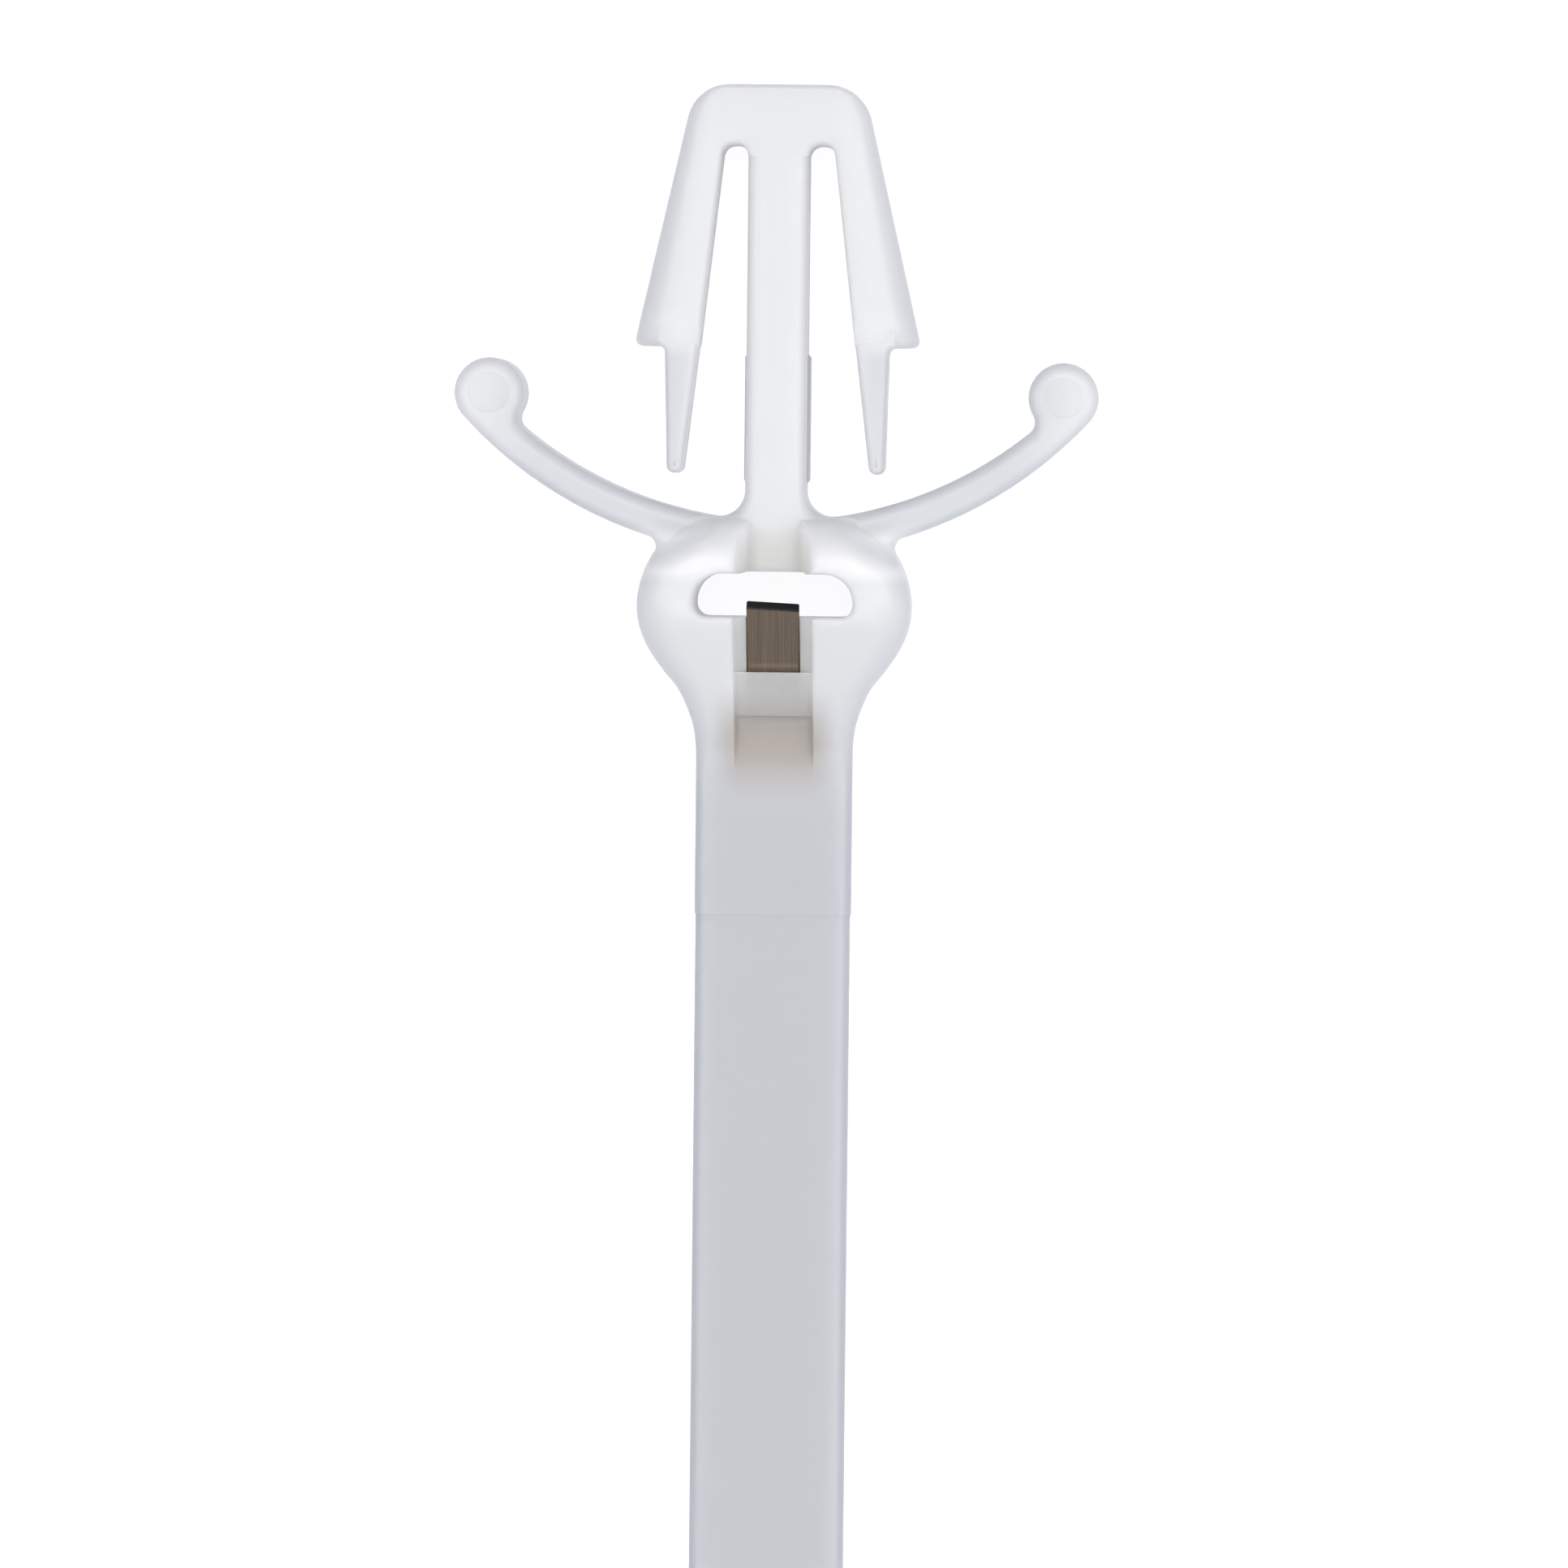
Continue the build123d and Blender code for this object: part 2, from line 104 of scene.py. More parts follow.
def solid(name, rings):
    """A closed surface: rings of points in mm, joined in order by four-sided faces, with a flat face on
    each end."""
    count, around = rings.shape[:2]
    at = np.arange(count * around).reshape(count, around)
    ahead = np.roll(at, -1, axis=1)
    sides = np.stack([at[:-1], ahead[:-1], ahead[1:], at[1:]], axis=-1).reshape(-1, 4)
    mesh = bpy.data.meshes.new(name)
    mesh.from_pydata(rings.reshape(-1, 3) * MM, [], sides.tolist() + [at[0].tolist(), at[-1].tolist()])
    work = bmesh.new()
    work.from_mesh(mesh)
    bmesh.ops.recalc_face_normals(work, faces=work.faces)
    work.to_mesh(mesh)
    work.free()
    piece = bpy.data.objects.new(name, mesh)
    bpy.context.scene.collection.objects.link(piece)
    return piece


def bar(name, y, half, low, high, front_r, back_r, across=12, steps=10, brim=0.0, brim_z=0.0):
    """A rounded bar along Y. Each ring is a rectangle 2 x half wide from low to high, with a quarter circle
    of front_r or back_r on each corner and points spread evenly over its front. Where brim is 1, a cosine
    that runs out level at height brim_z takes the place of the front's quarter circles."""
    given = (half, low, high, front_r, back_r, brim)
    half, low, high, front_r, back_r, brim = ((value + 0 * y)[:, None] for value in given)
    turn = np.radians(np.linspace(0, 90, steps + 1))[None, :]
    inward = np.linspace(0, 1, steps + 1)[None, :]
    front_x = (half - front_r + front_r * np.cos(turn)) * (1 - brim) + (half - brim_w * inward) * brim
    front_z = ((high - front_r + front_r * np.sin(turn)) * (1 - brim)
               + (brim_z + np.maximum(high - brim_z, 0) * (1 - np.cos(math.pi * inward)) / 2) * brim)
    back_x, back_z = half - back_r + back_r * np.cos(turn), low + back_r - back_r * np.sin(turn)
    top_x = np.linspace(1, -1, across + 1)[None, 1:-1] * front_x[:, -1:]
    x = np.concatenate([front_x, top_x, -front_x[:, ::-1], -back_x, back_x[:, ::-1]], axis=1)
    z = np.concatenate([front_z, front_z[:, -1:] + 0 * top_x, front_z[:, ::-1], back_z, back_z[:, ::-1]],
                       axis=1)
    return solid(name, np.stack([x, y[:, None] + 0 * x, z], axis=-1))


tail_start_y = tail_len - strap_reach
tip_r = tail_tip_w / 2
tip_turn = np.radians(np.linspace(90, 4, 24))
y = np.concatenate([np.linspace(head_end_y, head_start_y, 130), [-insert_line, -insert_line - insert_run],
                    np.linspace(-insert_line - 2, tail_start_y, 60),
                    np.linspace(tail_start_y, tip_r - strap_reach, 40)[1:-1],
                    tip_r - strap_reach - tip_r * np.cos(tip_turn)])
down_tail = np.clip((tail_start_y - y) / tail_len, 0, 1)
before_line = y >= -insert_line
half = np.where(before_line, half_width(y), inset_half + (tail_tip_w / 2 - inset_half) * down_tail)
half = np.minimum(half, np.where(y < tip_r - strap_reach,
                                 root(tip_r ** 2 - (tip_r - strap_reach - y) ** 2), 99))
thick = np.where(before_line, crest(y), inset_t + (tail_tip_t - inset_t) * down_tail)
crown = strap_front_r + (crown_r - strap_front_r) * np.clip((thick - strap_t) / (head_h - strap_t), 0, 1)
rise = np.clip((y - brim_from_y) / (brim_to_y - brim_from_y), 0, 1)
body = bar("nylon_body", y, half, 0.0, thick, np.minimum(crown, edge_share * half),
           np.minimum(strap_back_r, edge_share * half),
           brim=rise ** 2 * (3 - 2 * rise), brim_z=slab_t - brim_sink)


# Wings and stem. One flat slab of the same moulding: two bowed spring arms with a round pad on each tip,
# and the stem that carries the arrowhead. Every edge is rounded by the mould, and the roots are filleted.
stem_half, stem_root_r, stem_cover = 0.92, 0.8, 0.5
slab_edge_r, slab_back_edge = 0.45, 0.15
wing_top_y = 2.27
wing_up_r, wing_low_r, wing_root_t, wing_angle = 12.2, 12.95, 1.09, 47.4
pad_r, pad_fillet_r = 1.07, 0.4
nose_y, leg_len, nose_web = 15.53, 7.97, 1.81
ledge_y, gap_top_y = nose_y - leg_len, nose_y - nose_web
wing_up_y = wing_top_y + wing_up_r
wing_low_y = wing_top_y - wing_root_t + wing_low_r
pad_x = (wing_low_r - pad_r) * math.sin(math.radians(wing_angle))
pad_y = wing_low_y - (wing_low_r - pad_r) * math.cos(math.radians(wing_angle))


def run(start, end, count):
    """A straight run of an outline, without its last point: points, and normals on its right hand."""
    share = np.arange(count)[:, None] / count
    along = np.subtract(end, start)
    normal = np.array([along[1], -along[0]]) / np.hypot(*along)
    return np.concatenate([start + share * along, normal + 0 * share], axis=1)


def arc(centre, radius, first, last, count):
    """A round stretch of an outline from one angle to another, without its last point. Turning left it
    bulges outwards, turning right it is a hollow, and its normals point out of the material."""
    turn = np.radians(first + (last - first) * np.arange(count) / count)
    ray = np.stack([np.cos(turn), np.sin(turn)], axis=1)
    return np.concatenate([centre + radius * ray, ray * math.copysign(1, last - first)], axis=1)


def still(*corners):
    """Corners of an outline that lie inside another piece, and stay in place at every height."""
    return np.array([[x, y, 0, 0] for x, y in corners])


def mirrored(half_outline):
    """The left half of an outline, from its right half: X and the normals' X with the other sign, and
    the points in reverse, so that the two halves follow each other round."""
    return (half_outline * [-1, 1, -1, 1])[::-1]


def plate(name, outline, profile):
    """A flat piece: the outline is carried up the profile's heights, moved along its normals by the
    profile's offsets, which are below zero where an edge is rounded in and above zero where a cut flares."""
    offset, height = np.array(profile).T[:, :, None]
    x, y = (outline[None, :, k] + offset * outline[None, :, k + 2] for k in (0, 1))
    return solid(name, np.stack([x, y, height + 0 * x], axis=-1))


def both_sides(name, outline, profile):
    """The same flat piece on the right and, mirrored, on the left."""
    return [plate(name + "_right", outline, profile), plate(name + "_left", mirrored(outline), profile)]


def angle_of(centre, point):
    """The direction from a centre to a point, in degrees."""
    return math.degrees(math.atan2(point[1] - centre[1], point[0] - centre[0]))


def quarter(radius, steps=6):
    """A quarter circle of an edge: how far in and how far down each of its points lies from the flat."""
    turn = np.radians(np.linspace(0, 90, steps + 1))
    return radius * (1 - np.cos(turn)), radius * (1 - np.sin(turn))


def rounded_profile(low, high, back_r, front_r):
    """Offsets and heights of a slab's side: rounded in at the back, upright, rounded in at the front."""
    back_in, back_up = quarter(back_r)
    front_in, front_down = quarter(front_r)
    return ([(-a, low + b) for a, b in zip(back_in[::-1], back_up[::-1])]
            + [(-a, high - b) for a, b in zip(front_in, front_down)])


def touching(first, first_gap, second, second_gap, sign):
    """The centre of a circle at given distances from two centres, on the side that sign says."""
    apart = np.subtract(second, first)
    length = np.hypot(*apart)
    along = (first_gap ** 2 - second_gap ** 2 + length ** 2) / (2 * length)
    aside = math.sqrt(first_gap ** 2 - along ** 2)
    unit = apart / length
    return first + along * unit + sign * aside * np.array([-unit[1], unit[0]])


up_centre, low_centre, pad_centre = (0.0, wing_up_y), (0.0, wing_low_y), (pad_x, pad_y)
root_centre = (stem_half + stem_root_r,
               wing_up_y - math.sqrt((wing_up_r - stem_root_r) ** 2 - (stem_half + stem_root_r) ** 2))
hollow_centre = touching(up_centre, wing_up_r - pad_fillet_r, pad_centre, pad_r + pad_fillet_r, -1)
stem_top_y = gap_top_y + stem_cover
right_side = np.concatenate([
    arc(low_centre, wing_low_r, -90, wing_angle - 90, 44),
    arc(pad_centre, pad_r, wing_angle - 90, angle_of(pad_centre, hollow_centre) + 360, 44),
    arc(hollow_centre, pad_fillet_r, angle_of(hollow_centre, pad_centre),
        angle_of(up_centre, hollow_centre), 12),
    arc(up_centre, wing_up_r, angle_of(up_centre, hollow_centre), angle_of(up_centre, root_centre), 40),
    arc(root_centre, stem_root_r, angle_of(up_centre, root_centre), -180, 14),
    run((stem_half, root_centre[1]), (stem_half, stem_top_y), 40),
    still((stem_half - slab_edge_r, stem_top_y))])
outline = np.concatenate([right_side, mirrored(right_side[1:])])
slab_side = rounded_profile(0, slab_t, slab_back_edge, slab_edge_r)
parts = [plate("slab", outline, slab_side)]

# Where a wing leaves the head, a small hollow fillet joins the two.
notch_r, notch_in, notch_sink = 0.35, 0.85, 0.01
notch_centre = touching((lobe_x, lobe_y), lobe_r + notch_r, low_centre, wing_low_r + notch_r, -1)
notch_from, notch_to = angle_of(notch_centre, (lobe_x, lobe_y)), angle_of(notch_centre, low_centre)
notch_low, notch_high = (notch_centre + notch_r * np.array([math.cos(a), math.sin(a)])
                         for a in np.radians([notch_from, notch_to]))
notch = np.concatenate([arc(notch_centre, notch_r, notch_from % 360, notch_to % 360, 12),
                        arc(notch_centre, notch_r, notch_to % 360, notch_to % 360 - 1, 1),
                        still(notch_high + [-notch_in, notch_in / 4], notch_low - [notch_in, 0])])
parts += both_sides("notch", notch, rounded_profile(0, slab_t - notch_sink, slab_back_edge, slab_edge_r))

# Side ribs: a low pad on each side of the stem, at the back of the moulding.
rib_proud, rib_t, rib_low_y, rib_high_y, rib_in = 0.08, 1.3, 3.43, 7.355, 0.3
rib_back_edge, rib_front_edge = 0.02, 0.05
rib_x = stem_half + rib_proud
rib_points = [(stem_half, rib_low_y), (rib_x, rib_low_y + rib_proud), (rib_x, rib_high_y - rib_proud),
              (stem_half, rib_high_y), (stem_half - rib_in, rib_high_y), (stem_half - rib_in, rib_low_y)]
rib = np.concatenate([run(p, q, 1) for p, q in zip(rib_points, rib_points[1:] + rib_points[:1])])
parts += both_sides("rib", rib, rounded_profile(0, rib_t, rib_back_edge, rib_front_edge))


# Arrowhead. A rounded wedge at the end of the stem, split by two gaps into legs that spring in as it goes
# through its hole. Each leg ends in a ledge, and a thinner blade runs on below it.
nose_half, nose_corner_r, nose_edge_r, nose_top_r = 2.56, 1.3, 0.75, 0.2
leg_slope, leg_edge_r, ledge_r, ledge_drop, ledge_run = 0.23, 1.35, 0.28, 0.2, 0.9
round_limit, cut_past = 0.49, 1.0
leg_angle = math.atan(leg_slope)
corner_x = nose_half + nose_corner_r * leg_slope - nose_corner_r / math.cos(leg_angle)
corner_y = nose_y - nose_corner_r
corner_low_y = corner_y + nose_corner_r * math.sin(leg_angle)

ledge_turn = np.linspace(0, math.pi / 2, 8)[:-1]
corner_turn = np.linspace(leg_angle, math.pi / 2, 30)[1:]
y = np.concatenate([ledge_y + ledge_r * (1 - np.cos(ledge_turn)),
                    np.linspace(ledge_y + ledge_r, corner_low_y, 70),
                    corner_y + nose_corner_r * np.sin(corner_turn)])
half = np.where(y <= corner_low_y, nose_half + leg_slope * (nose_y - y),
                corner_x + root(nose_corner_r ** 2 - (y - corner_y) ** 2))
ledge_inset = ledge_r - root(ledge_r ** 2 - np.maximum(ledge_y + ledge_r - y, 0) ** 2)
from_ledge = np.minimum((y - ledge_y) / ledge_run, 1)
ledge_fall = ledge_drop * (1 + np.cos(math.pi * from_ledge)) / 2 + ledge_inset / 2
nose_inset = nose_top_r - root(nose_top_r ** 2 - np.maximum(y - nose_y + nose_top_r, 0) ** 2)
leg_share = np.clip((y - ledge_y) / (corner_low_y - ledge_y), 0, 1)
corner_share = np.clip((y - corner_low_y) / (nose_y - corner_low_y), 0, 1)
edge_r = leg_edge_r + (nose_edge_r - leg_edge_r) * leg_share - (nose_edge_r - nose_top_r) * corner_share ** 2
edge_r = np.minimum(edge_r, round_limit * (slab_t - ledge_fall - ledge_inset - 2 * nose_inset))
wedge = bar("wedge", y, half - ledge_inset, ledge_inset + nose_inset, slab_t - ledge_fall - nose_inset,
            edge_r, edge_r, across=16, steps=14)

# Gaps between stem and legs, with round tops and soft edges.
gap_top_w, gap_slope, gap_edge_r = 0.77, 0.113, 0.2
gap_top_r = 0.485 * gap_top_w
gap_low_y = ledge_y - cut_past


def gap_outer(y):
    """The leg's inner edge at y: a straight line that leans out towards the ledge."""
    return stem_half + gap_top_w + gap_slope * (gap_top_y - y)


def flared_profile(low, high, flare_r):
    """Offsets and heights of a cut through a slab, flared out by a quarter circle at the back and front."""
    turn = np.linspace(0, math.pi / 2, 7)
    return ([(flare_r * (1 - math.sin(t)), low + flare_r * (1 - math.cos(t))) for t in turn]
            + [(flare_r * (1 - math.cos(t)), high - flare_r * (1 - math.sin(t))) for t in turn]
            + [(flare_r, high + cut_past)])


outer_top = (gap_outer(gap_top_y - gap_top_r) - gap_top_r, gap_top_y - gap_top_r)
inner_top = (stem_half + gap_top_r, gap_top_y - gap_top_r)
gap = np.concatenate([
    run((0, gap_low_y), (gap_outer(gap_low_y), gap_low_y), 4),
    run((gap_outer(gap_low_y), gap_low_y), (outer_top[0] + gap_top_r, outer_top[1]), 50),
    arc(outer_top, gap_top_r, 0, 90, 8),
    arc(inner_top, gap_top_r, 90, 180, 8),
    arc(inner_top, gap_top_r, 180, 181, 1),
    still((stem_half - 2 * gap_edge_r, inner_top[1]))])
gap = np.concatenate([gap, mirrored(gap[1:])])
gaps = plate("gaps", gap, [(gap_edge_r, -cut_past)] + flared_profile(0, slab_t, gap_edge_r))

# Blades below the ledges: thinner than the legs, tapered, with a round end.
blade_w, blade_t, blade_len, blade_up, blade_sunk, blade_outer_slope = 1.025, 2.6, 3.86, 0.9, 0.01, 0.023
blade_edge_r, blade_root_r, blade_drop, blade_cover = 0.25, 0.2, 0.205, 0.4
blade_end_y, blade_top_y = ledge_y - blade_len, ledge_y + blade_up
blade_outer = gap_outer(ledge_y) + blade_w
tip_outer = blade_outer - blade_outer_slope * blade_len
tip_inner = gap_outer(blade_end_y) + blade_sunk
end_r = round_limit * (tip_outer - tip_inner)
blade = np.concatenate([
    still((blade_outer + blade_root_r, ledge_y + blade_w / 2),
          (gap_outer(blade_top_y) + blade_cover, blade_top_y)),
    run((gap_outer(blade_top_y) + blade_sunk, blade_top_y), (tip_inner, blade_end_y + end_r), 24),
    arc((tip_inner + end_r, blade_end_y + end_r), end_r, 180, 270, 10),
    run((tip_inner + end_r, blade_end_y), (tip_outer - end_r, blade_end_y), 2),
    arc((tip_outer - end_r, blade_end_y + end_r), end_r, 270, 360, 10),
    run((tip_outer, blade_end_y + end_r), (blade_outer, ledge_y - blade_root_r), 20),
    arc((blade_outer + blade_root_r, ledge_y - blade_root_r), blade_root_r, 180, 90, 8),
    arc((blade_outer + blade_root_r, ledge_y - blade_root_r), blade_root_r, 90, 89, 1)])
blades = both_sides("blade", blade, rounded_profile(slab_t - blade_t - blade_drop, slab_t - blade_drop,
                                                    blade_edge_r, blade_edge_r))


# Cuts in the head: the slot for the strap's tail, the valley that leads out of it to the stem, the pocket
# round the barb, and the shallow recess that runs out at the strap. Their edges are softened by the mould.
slot_half_w, slot_half_t, slot_far_r, slot_near_r, slot_lead = 2.425, 0.665, 0.88, 0.4, 0.15
relief_depth, slot_rim_r = 0.06, 0.2
valley_rise, valley_run, valley_lean, valley_in, valley_over = 0.2, 1.2, 0.22, 0.1, 0.1
valley_skim, valley_rim_r, valley_floor_r = 0.0005, 0.25, 0.3
barb_w, barb_t, barb_angle, barb_exposed, barb_buried = 1.6, 0.4, 36.0, 2.39, 2.5
barb_intrusion, barb_clear = 0.25, 0.02
pocket_half, pocket_floor_angle, pocket_rim_r, pocket_floor_r = 1.2, 10.0, 0.12, 0.15
channel_rim_r, channel_floor_r = 0.02, 0.1
lip_drop, lip_cover, lip_len, lip_step, shelf_drop = 0.35, 0.25, 1.35, 0.1, 0.5
recess_end_gap, recess_end_rise = 0.25, 0.03
recess_end_y, recess_end_z = ramp_start_y + recess_end_gap, strap_t + recess_end_rise
lean = math.radians(barb_angle)
lip_y = barb_intrusion - slot_half_t - barb_exposed * math.cos(lean)
lip_end_y = lip_y - lip_len
lip_top_z = float(crest(np.array(lip_y))) - lip_drop
lip_end_z = float(crest(np.array(lip_end_y))) - lip_drop
barb_z = lip_top_z - lip_cover
barb_under_z = barb_z - barb_t / math.cos(lean)


def trough(name, y, half, floor, rim, rim_r, floor_r, wall_lean=0.0):
    """A cut that runs along Y, for a groove with a flat floor: each ring has the floor, a small hollow
    fillet on each side, walls that lean out, and a flare where they meet the surface at height rim."""
    least_depth, most_round = 0.02, 0.45
    depth = np.maximum(rim - floor, least_depth)
    rim = floor + depth
    rim_r, floor_r = (np.minimum(radius, most_round * depth)[:, None] for radius in (rim_r, floor_r))
    top = half + wall_lean * depth[:, None]
    turn = np.radians(np.linspace(0, 90, 6))[None, :]
    floor, rim = floor[:, None], rim[:, None]
    x = np.concatenate([half - floor_r + floor_r * np.sin(turn), top + rim_r - rim_r * np.cos(turn),
                        top + rim_r], axis=1)
    z = np.concatenate([floor + floor_r - floor_r * np.cos(turn), rim - rim_r + rim_r * np.sin(turn),
                        rim * 0 + head_h + cut_past], axis=1)
    x, z = np.concatenate([x, -x[:, ::-1]], axis=1), np.concatenate([z, z[:, ::-1]], axis=1)
    return solid(name, np.stack([x, y[:, None] + 0 * x, z], axis=-1))


valley_y, valley_low_y = slot_half_t + valley_run, slot_half_t / 2
y = np.linspace(valley_low_y, head_end_y + valley_over, 44)
floor = slab_t + valley_skim + valley_rise * np.maximum((valley_y - y) / valley_run, 0) ** 2
valley = trough("valley", y, stem_half - valley_in, floor, crest(y),
                valley_rim_r, valley_floor_r, valley_lean)

pocket_low_y = -slot_half_t / 2
recess_top_z = lip_end_z - lip_step
recess_r = (((lip_end_y - recess_end_y) ** 2 + (recess_top_z - recess_end_z) ** 2)
            / (2 * (recess_top_z - recess_end_z)))
seam = 0.002
y = np.concatenate([np.linspace(pocket_low_y, lip_y, 24), np.linspace(lip_y - seam, lip_end_y, 20),
                    np.linspace(lip_end_y - seam, recess_end_y, 30)])
floor = np.select([y >= lip_y, y >= lip_end_y],
                  [crest(y) - shelf_drop,
                   lip_top_z + (y - lip_y) / (lip_end_y - lip_y) * (lip_end_z - lip_top_z)],
                  recess_end_z + recess_r - root(recess_r ** 2 - (y - recess_end_y) ** 2))
pocket = trough("pocket", y, pocket_half, floor, crest(y), pocket_rim_r, pocket_floor_r)
y = y[y >= lip_y]
floor = barb_under_z + (y - lip_y) * math.tan(math.radians(pocket_floor_angle))
channel = trough("channel", y, barb_w / 2 + barb_clear, floor, crest(y) - shelf_drop,
                 channel_rim_r, channel_floor_r)

along = np.array([0, math.cos(lean), math.sin(lean)])
out = np.array([0, -math.sin(lean), math.cos(lean)])
seat_start = np.array([0, lip_y, barb_z]) + out * barb_clear
corners = np.array([[-1, 0], [1, 0], [1, 1], [-1, 1]])
seat_rings = [seat_start + along * reach + corners[:, :1] * [barb_w / 2 + barb_clear, 0, 0]
              - corners[:, 1:] * out * (barb_t + 2 * barb_clear)
              for reach in (-barb_buried - barb_clear, barb_t)]
seat = solid("seat", np.array(seat_rings))

end_x, far_y, relief_y = slot_half_w - slot_far_r, slot_half_t - slot_far_r, slot_half_t + relief_depth
near_x, near_y = slot_half_w - slot_near_r, slot_near_r - slot_half_t
slot_side = np.concatenate([
    run((0, -slot_half_t), (near_x, -slot_half_t), 20),
    arc((near_x, near_y), slot_near_r, -90, 0, 8),
    run((slot_half_w, near_y), (slot_half_w, far_y), 4),
    arc((end_x, far_y), slot_far_r, 0, 90, 12),
    run((end_x, slot_half_t), (stem_half + relief_depth, slot_half_t), 8),
    run((stem_half + relief_depth, slot_half_t), (stem_half, relief_y), 1),
    run((stem_half, relief_y), (0, relief_y), 10)])
slot = np.concatenate([slot_side, mirrored(slot_side[1:])])
turn = np.linspace(0, math.pi / 2, 7)
offset = np.concatenate([[slot_lead, slot_lead, 0], slot_rim_r * (1 - np.cos(turn)), [slot_rim_r]])[:, None]
below = np.concatenate([slot_rim_r * (1 - np.sin(turn)), [-2 * cut_past]])[:, None]
x, y = (slot[None, :, k] + offset * slot[None, :, k + 2] for k in (0, 1))
z = np.concatenate([np.repeat([[-cut_past], [0.0], [slot_lead]], len(slot), axis=1), crest(y[3:]) - below])
slot_cut = solid("slot_cut", np.stack([x, y, z], axis=-1))

# Pin marks: a shallow round dent in each wing's pad, left by the mould's ejector pin.
pin_r, pin_depth, pin_edge = 0.62, 0.03, 0.02
pin_side = [(-pin_edge, slab_t - pin_depth), (0, slab_t - pin_depth + pin_edge), (0, slab_t + cut_past)]
marks = [plate("pin_mark", arc((side * pad_x, pad_y), pin_r, 0, 360, 48), pin_side) for side in (-1, 1)]

# Grip grooves across the tail's front: round hollows, a little narrower than the tip.
grips = []
for i in range(grip_count):
    from_tip = grip_end_gap + i * grip_pitch
    centre = (from_tip - strap_reach,
              tail_tip_t + (inset_t - tail_tip_t) * from_tip / tail_len + grip_groove_r - grip_groove_depth)
    turn = np.linspace(0, 2 * math.pi, 33)[:-1]
    ring = np.stack([0 * turn, centre[0] + grip_groove_r * np.cos(turn),
                     centre[1] + grip_groove_r * np.sin(turn)], axis=1)
    grips.append(solid("grip", np.array([ring - [grip_w / 2, 0, 0], ring + [grip_w / 2, 0, 0]])))


def combine(base, tool, how):
    """Joins a piece with a second one, or cuts that one out of it, and keeps the result as its mesh."""
    step = base.modifiers.new(how, "BOOLEAN")
    step.operation, step.solver, step.object = how, "MANIFOLD", tool
    graph = bpy.context.evaluated_depsgraph_get()
    mesh = bpy.data.meshes.new_from_object(base.evaluated_get(graph))
    base.modifiers.clear()
    old, base.data = base.data, mesh
    bpy.data.meshes.remove(old)
    bpy.data.objects.remove(tool)


combine(wedge, gaps, "DIFFERENCE")
for part in blades:
    combine(wedge, part, "UNION")
for part in parts + [wedge]:
    combine(body, part, "UNION")
for part in [valley, pocket, channel, seat, slot_cut] + marks + grips:
    combine(body, part, "DIFFERENCE")
body.data.shade_smooth()
body.data.set_sharp_from_angle(angle=math.radians(32))
weighted = body.modifiers.new("weighted", "WEIGHTED_NORMAL")
weighted.keep_sharp = True


def linear(code, alpha=1.0):
    """A hex sRGB colour as linear values."""
    value = np.array([int(code[i:i + 2], 16) for i in (1, 3, 5)]) / 255
    value = np.where(value <= 0.04045, value / 12.92, ((value + 0.055) / 1.055) ** 2.4)
    return (*value.tolist(), alpha)


def node(tree, kind, settings=None, values=None, **links):
    """Adds a node, sets its properties and the values of its sockets, and links outputs to its inputs."""
    made = tree.nodes.new(kind)
    for key, value in (settings or {}).items():
        setattr(made, key, value)
    for key, value in (values or {}).items():
        made.inputs[key].default_value = value
    for key, output in links.items():
        tree.links.new(output, made.inputs[int(key[1:]) if key[1:].isdigit() else key.replace("_", " ")])
    return made


# Nylon 6.6, natural, as moulded: milky, so light goes a little way in and comes out soft and grey-blue
# where the wall is thin.
nylon = bpy.data.materials.new("moulded_nylon")
nylon.use_nodes = True
tree = nylon.node_tree
tree.nodes.clear()
place = node(tree, "ShaderNodeTexCoord")
apart = node(tree, "ShaderNodeSeparateXYZ", Vector=place.outputs["Object"])
aside = node(tree, "ShaderNodeMath", {"operation": "ABSOLUTE"}, None, _0=apart.outputs["X"])


def step(value, start, end, most=1.0):
    """Rises smoothly from 0 at start to most at end, both in mm along the given value."""
    made = node(tree, "ShaderNodeMapRange", {"interpolation_type": "SMOOTHSTEP"},
                {"From Min": start * MM, "From Max": end * MM, "To Max": most}, Value=value)
    return made.outputs["Result"]


def times(first, second):
    """The product of two values."""
    return node(tree, "ShaderNodeMath", {"operation": "MULTIPLY"}, None, _0=first, _1=second).outputs["Value"]


def tinted(colour, code, share):
    """Mixes a colour toward a hex colour by a share."""
    made = node(tree, "ShaderNodeMix", {"data_type": "RGBA"}, {"B": linear(code)}, A=colour, Factor=share)
    return made.outputs["Result"]


# In mm, x from the middle line and y along the tie: the head thins into the strap, which is painted greyer as
# painted shade of light passing through thin nylon; the shoulders get a painted highlight; the thin wings are
# painted greyer as painted shade; the valley and pocket get painted warm shade; and the nylon round the barb
# and over its root gets a painted brown shadow of the buried steel.
x, y = aside.outputs["Value"], apart.outputs["Y"]
# Painted shade: the head's colour fades into a greyer strap where the nylon thins.
thick = node(tree, "ShaderNodeMix", {"data_type": "RGBA"}, {"A": linear("#E5E6E6"), "B": linear("#C9CBCF")},
             Factor=step(y, -2.2, -7.0))
# Painted highlight: the shoulders above the slot are lightened toward white.
painted_shoulder_highlight = times(times(step(y, 0.3, 0.9), step(y, 2.3, 1.8)), step(x, 0.75, 0.95))
colour = tinted(thick.outputs["Result"], "#FDFDFD", painted_shoulder_highlight)
